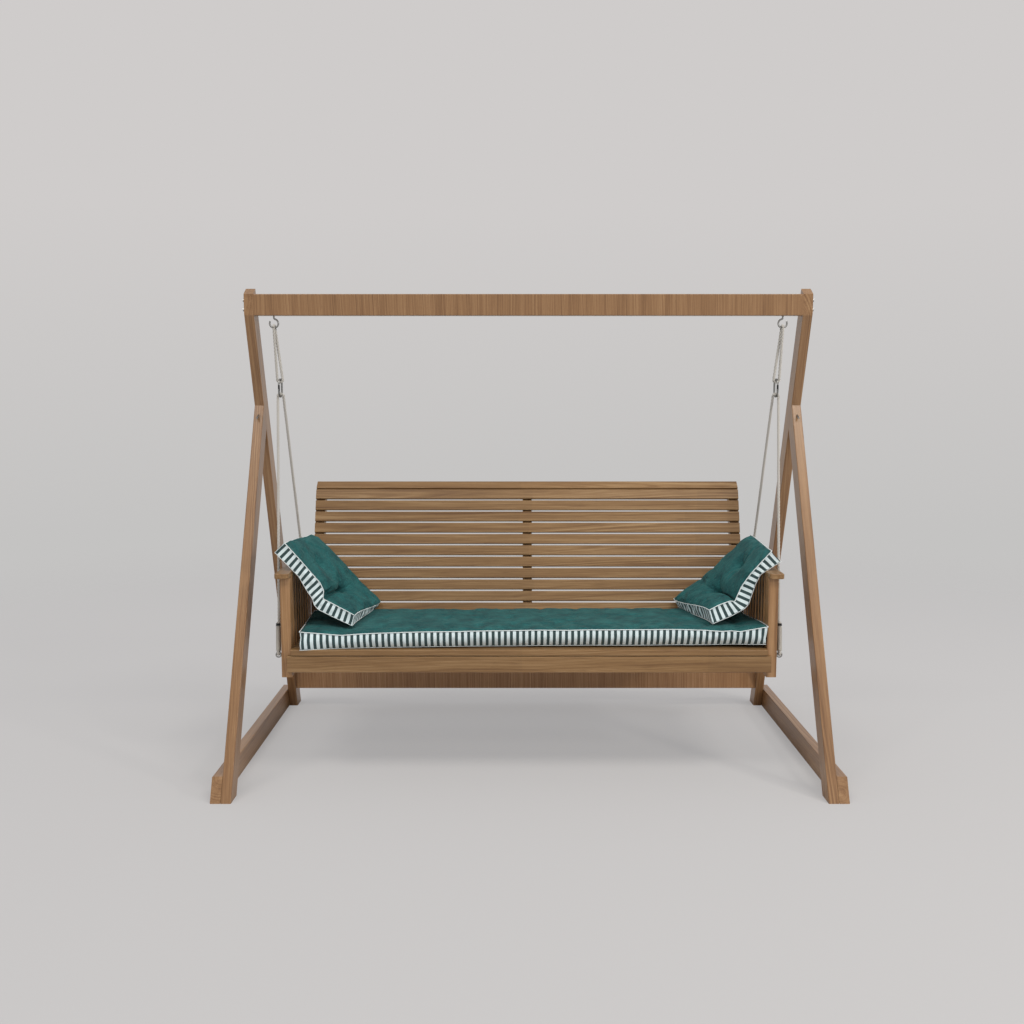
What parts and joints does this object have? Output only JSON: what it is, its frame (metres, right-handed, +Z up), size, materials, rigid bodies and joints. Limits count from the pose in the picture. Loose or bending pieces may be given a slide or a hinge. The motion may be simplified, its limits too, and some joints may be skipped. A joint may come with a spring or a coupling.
{
  "type": "garden swing bench",
  "caption": "Slatted timber swing bench hung by ropes and carabiners from a free-standing A-frame stand, with a striped seat cushion and two striped pillows.",
  "frame": {"origin": "on the floor, in the middle of the stand's feet", "axes": "+Z up, +X along the bench to the right as seen from the front, the sitter looks along -Y"},
  "size_m": [2.455, 1.36, 1.988],
  "materials": {
    "stand_timber": "satin",
    "bench_timber": "satin",
    "bolt_steel": "satin",
    "hook_steel": "satin",
    "carabiner_steel": "satin",
    "gate_black": "satin",
    "rope": "matte",
    "whipping_cord": "matte",
    "black_cord": "matte",
    "striped_cloth": "matte"
  },
  "bodies": {
    "stand": {"back_leg_left": "stand_timber", "back_leg_right": "stand_timber", "beam_bolts": "bolt_steel", "front_leg_left": "stand_timber", "front_leg_right": "stand_timber", "knee_bolts": "bolt_steel", "rear_stretcher": "stand_timber", "runner_bolts": "bolt_steel", "runner_left": "stand_timber", "runner_right": "stand_timber", "stretcher_bolts": "bolt_steel", "top_beam": "stand_timber", "top_hook_left": "hook_steel", "top_hook_right": "hook_steel"},
    "sling_left": {"sling_rope_left": "rope", "carabiner_left": "carabiner_steel"},
    "gate_left": {"carabiner_gate_left": "gate_black"},
    "sling_right": {"sling_rope_right": "rope", "carabiner_right": "carabiner_steel"},
    "gate_right": {"carabiner_gate_right": "gate_black"},
    "seat_cushion": {"seat_cushion": "striped_cloth"},
    "pillow_left": {"pillow_left": "striped_cloth"},
    "pillow_right": {"pillow_right": "striped_cloth"},
    "seat": {"apron": "bench_timber", "armrest_left": "bench_timber", "armrest_right": "bench_timber", "back_slat_01": "bench_timber", "back_slat_02": "bench_timber", "back_slat_03": "bench_timber", "back_slat_04": "bench_timber", "back_slat_05": "bench_timber", "back_slat_06": "bench_timber", "back_slat_07": "bench_timber", "back_slat_08": "bench_timber", "back_slat_09": "bench_timber", "back_slat_10": "bench_timber", "back_slat_11": "bench_timber", "back_slat_12": "bench_timber", "back_slat_13": "bench_timber", "front_post_left": "bench_timber", "front_post_right": "bench_timber", "rear_post_left": "bench_timber", "rear_post_right": "bench_timber", "rear_rail": "bench_timber", "rib_centre": "bench_timber", "rib_left": "bench_timber", "rib_right": "bench_timber", "rope_bands": "black_cord", "rope_whippings_left": "whipping_cord", "rope_whippings_right": "whipping_cord", "seat_eyes_left": "hook_steel", "seat_eyes_right": "hook_steel", "seat_front_slat": "bench_timber", "seat_rope_left": "rope", "seat_rope_right": "rope", "seat_slats": "bench_timber", "side_rail_left": "bench_timber", "side_rail_right": "bench_timber", "side_slats_left": "bench_timber", "side_slats_right": "bench_timber"}
  },
  "joints": [
    {"name": "sling_left_swing", "type": "hinge", "parent": "stand", "child": "sling_left", "pos_m": [-1.061, -0.08266, 1.8255], "axis": [1, 0, 0], "range_deg": [-25, 25]},
    {"name": "sling_right_swing", "type": "hinge", "parent": "stand", "child": "sling_right", "pos_m": [1.061, -0.08266, 1.8255], "axis": [1, 0, 0], "range_deg": [-25, 25]},
    {"name": "seat_tilt", "type": "hinge", "parent": "sling_left", "child": "seat", "pos_m": [-1.041, -0.08266, 1.54], "axis": [1, 0, 0], "range_deg": [-10, 10]},
    {"name": "gate_left_hinge", "type": "hinge", "parent": "sling_left", "child": "gate_left", "pos_m": [-1.04253, -0.10461, 1.5665], "axis": [-0.9976, 0.0698, 0], "range_deg": [0, 25], "stiffness_Nm_per_rad": 0.05, "springref_deg": -11.46},
    {"name": "gate_right_hinge", "type": "hinge", "parent": "sling_right", "child": "gate_right", "pos_m": [1.04253, -0.10461, 1.5665], "axis": [-0.9976, -0.0698, 0], "range_deg": [0, 25], "stiffness_Nm_per_rad": 0.05, "springref_deg": -11.46},
    {"name": "seat_cushion_lift", "type": "slide", "parent": "seat", "child": "seat_cushion", "axis": [0, 0, 1], "range_m": [0, 0.3]},
    {"name": "pillow_left_lift", "type": "slide", "parent": "seat_cushion", "child": "pillow_left", "axis": [0, 0, 1], "range_m": [0, 0.3]},
    {"name": "pillow_right_lift", "type": "slide", "parent": "seat_cushion", "child": "pillow_right", "axis": [0, 0, 1], "range_m": [0, 0.3]}
  ],
  "couplings": [
    {"joint": "sling_right_swing", "follows": "sling_left_swing", "ratio": 1}
  ]
}
